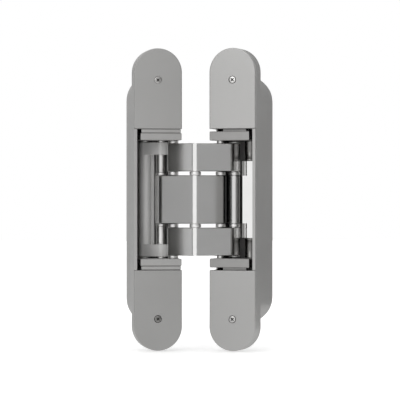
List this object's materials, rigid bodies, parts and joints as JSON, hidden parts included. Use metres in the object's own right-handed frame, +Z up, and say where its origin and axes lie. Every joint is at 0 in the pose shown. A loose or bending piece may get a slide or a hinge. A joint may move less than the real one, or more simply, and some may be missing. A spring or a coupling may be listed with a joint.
{
  "type": "concealed invisible door hinge",
  "caption": "Concealed mortise door hinge with round-ended cases, screwed cover plates and a scissor linkage of bent arms and swing links.",
  "frame": {"origin": "centre of the frame case's face, at half its height", "axes": "+Z up along the case, -Y out of the frame case's face, +X towards the leaf case"},
  "size_m": [0.0958, 0.0585, 0.2],
  "materials": {
    "case_metal": "satin cast",
    "cover_metal": "satin",
    "carrier_metal": "satin cast",
    "arm_metal": "satin",
    "link_steel": "bright",
    "pin_steel": "ground",
    "washer_steel": "satin",
    "sleeve_steel": "satin",
    "screw_steel": "zinc plated"
  },
  "bodies": {
    "frame_side": {"frame_case": "case_metal", "frame_cover_top": "cover_metal", "frame_cover_bottom": "cover_metal", "frame_cover_screws": "screw_steel", "frame_carrier_top": "carrier_metal", "frame_carrier_bottom": "carrier_metal", "frame_slide_plate_top": "carrier_metal", "frame_slide_plate_bottom": "carrier_metal", "frame_clamp_screws": "screw_steel", "frame_arm_pin": "pin_steel", "frame_anchor_pin": "pin_steel", "frame_arm_washers": "washer_steel", "frame_anchor_washers": "washer_steel"},
    "fork_arms": {"outer_arm_upper": "arm_metal", "outer_arm_lower": "arm_metal", "centre_pin": "pin_steel", "centre_washers": "washer_steel", "leaf_link_pin": "pin_steel", "leaf_link_washers": "washer_steel"},
    "middle_arm": {"inner_arm": "arm_metal", "frame_link_pin": "pin_steel", "frame_link_sleeves": "sleeve_steel", "frame_link_clips": "washer_steel"},
    "leaf_side": {"leaf_case": "case_metal", "leaf_cover_top": "cover_metal", "leaf_cover_bottom": "cover_metal", "leaf_cover_screws": "screw_steel", "leaf_carrier_top": "carrier_metal", "leaf_carrier_bottom": "carrier_metal", "leaf_clamp_screws": "screw_steel", "leaf_arm_pin": "pin_steel", "leaf_anchor_pin": "pin_steel", "leaf_arm_washers": "washer_steel", "leaf_anchor_sleeves": "sleeve_steel"},
    "frame_swing": {"frame_swing_link": "link_steel"},
    "leaf_swing": {"leaf_swing_link": "link_steel"}
  },
  "joints": [
    {"name": "frame_arm_pivot", "type": "hinge", "parent": "frame_side", "child": "fork_arms", "pos_m": [0.0118, 0.0106, 0], "axis": [0, 0, 1], "range_deg": [-86.83, 16.68]},
    {"name": "arms_crossing", "type": "hinge", "parent": "fork_arms", "child": "middle_arm", "pos_m": [0.02418, -0.00455, 0], "axis": [0, 0, 1], "range_deg": [-4.36, 22.66]},
    {"name": "leaf_arm_pivot", "type": "hinge", "parent": "middle_arm", "child": "leaf_side", "pos_m": [0.04235, 0.0027, 0], "axis": [0, 0, 1], "range_deg": [-86.83, 16.68]},
    {"name": "frame_link_swing", "type": "hinge", "parent": "frame_side", "child": "frame_swing", "pos_m": [-0.00508, 0.02488, 0], "axis": [0, 0, 1], "range_deg": [-4.79, 24.93]},
    {"name": "leaf_link_swing", "type": "hinge", "parent": "leaf_side", "child": "leaf_swing", "pos_m": [0.06404, 0.007, 0], "axis": [0, 0, 1], "range_deg": [-24.93, 4.79]}
  ],
  "couplings": [
    {"joint": "arms_crossing", "follows": "frame_arm_pivot", "ratio": -0.26087},
    {"joint": "leaf_arm_pivot", "follows": "frame_arm_pivot", "ratio": 1},
    {"joint": "frame_link_swing", "follows": "frame_arm_pivot", "ratio": -0.28696},
    {"joint": "leaf_link_swing", "follows": "frame_arm_pivot", "ratio": 0.28696}
  ]
}
